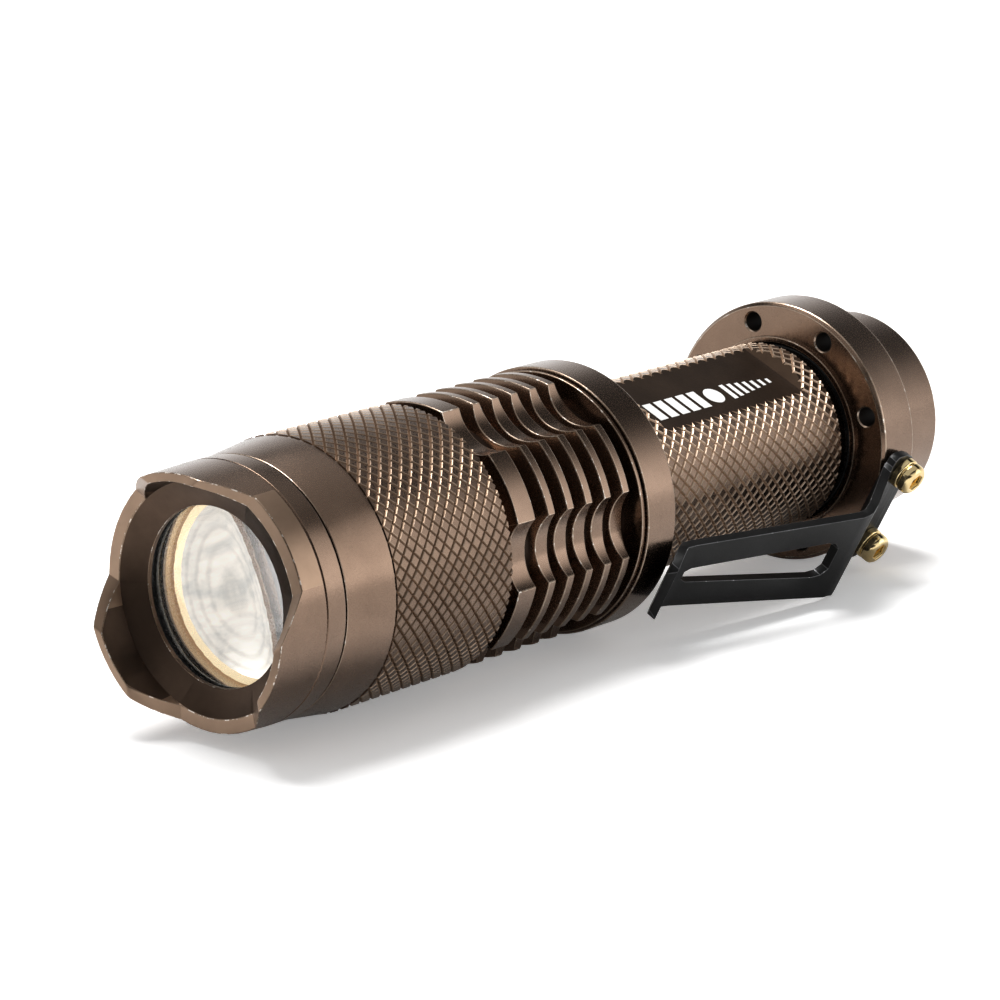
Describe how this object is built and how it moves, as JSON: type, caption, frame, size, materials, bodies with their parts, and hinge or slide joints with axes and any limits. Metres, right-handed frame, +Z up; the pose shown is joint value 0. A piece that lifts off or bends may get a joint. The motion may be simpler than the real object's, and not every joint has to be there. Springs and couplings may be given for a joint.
{
  "type": "zoom flashlight",
  "caption": "Pocket zoom flashlight: knurled tube, finned sliding head with a crown ring and dome lens, flanged tail cap with push button and screwed-on pocket clip.",
  "frame": {"origin": "on the tube's axis, in the plane of the tail rim that it stands on", "axes": "+Y runs along the axis and out of the tail, the lens looks toward -Y, +Z is up as it lies"},
  "size_m": [0.0325, 0.102, 0.0274],
  "materials": {
    "anodised": "satin black-brown hard anodising, worn to bare metal on its edges",
    "plain_aluminium": "turned, bare",
    "lens_clear": "polished, clear",
    "rubber": "matt",
    "black_plastic": "fine moulded texture",
    "plain_brass": "turned, bare",
    "led_board": "white solder mask",
    "white_plastic": "moulded, matt",
    "led_ceramic": "fired white",
    "phosphor": "yellow",
    "dome_clear": "clear gel",
    "wire_sleeve": "smooth insulation",
    "circuit_board": "green board",
    "coil_copper": "enamelled copper winding",
    "cell_metal": "nickel plated",
    "cell_wrap": "heat-shrunk film",
    "cell_cap": "nickel plated",
    "clip_black": "satin black on spring steel, rubbed bright at its edges",
    "screw_brass": "polished",
    "spring_steel": "bright wire"
  },
  "bodies": {
    "tube": {"battery_tube": "anodised", "neck_o_ring": "rubber", "tail_o_ring": "rubber", "led_pill": "plain_brass", "led_board": "led_board", "led_collar": "white_plastic", "led_package": "led_ceramic", "led_phosphor": "phosphor", "led_dome": "dome_clear", "led_wires": "wire_sleeve", "driver_board": "circuit_board", "driver_coil": "coil_copper", "driver_contact": "plain_brass", "battery_can": "cell_metal", "battery_wrap": "cell_wrap", "battery_button": "cell_cap"},
    "head_slide": {"head_wiper_ring": "rubber"},
    "head": {"head_sleeve": "anodised", "bezel_ring": "anodised", "lens": "lens_clear", "lens_o_ring": "rubber", "lens_spacer": "black_plastic"},
    "tail_slide": {"tail_spring": "spring_steel"},
    "tail_cap": {"tail_cap": "anodised", "pocket_clip": "clip_black", "clip_screws": "screw_brass", "switch_retainer": "plain_aluminium", "switch_board": "circuit_board", "switch_housing": "black_plastic"},
    "button": {"switch_plunger": "black_plastic", "switch_boot": "rubber", "switch_spring": "spring_steel"}
  },
  "joints": [
    {"name": "zoom", "type": "slide", "parent": "tube", "child": "head_slide", "axis": [0, -1, 0], "range_m": [0, 0.008]},
    {"name": "head_spin", "type": "hinge", "parent": "head_slide", "child": "head", "pos_m": [0, -0.07, 0], "axis": [0, 1, 0], "continuous": true},
    {"name": "tail_cap_travel", "type": "slide", "parent": "tube", "child": "tail_slide", "axis": [0, 1, 0], "range_m": [0, 0.0035]},
    {"name": "tail_cap_turn", "type": "hinge", "parent": "tail_slide", "child": "tail_cap", "pos_m": [0, -0.01, 0], "axis": [0, 1, 0], "range_deg": [0, 1260]},
    {"name": "button_press", "type": "slide", "parent": "tail_cap", "child": "button", "axis": [0, -1, 0], "range_m": [0, 0.0015], "stiffness_N_per_m": 2000, "deforming": ["switch_boot", "switch_spring"]}
  ],
  "couplings": [
    {"joint": "tail_cap_turn", "follows": "tail_cap_travel", "rad_per_m": 6283}
  ]
}
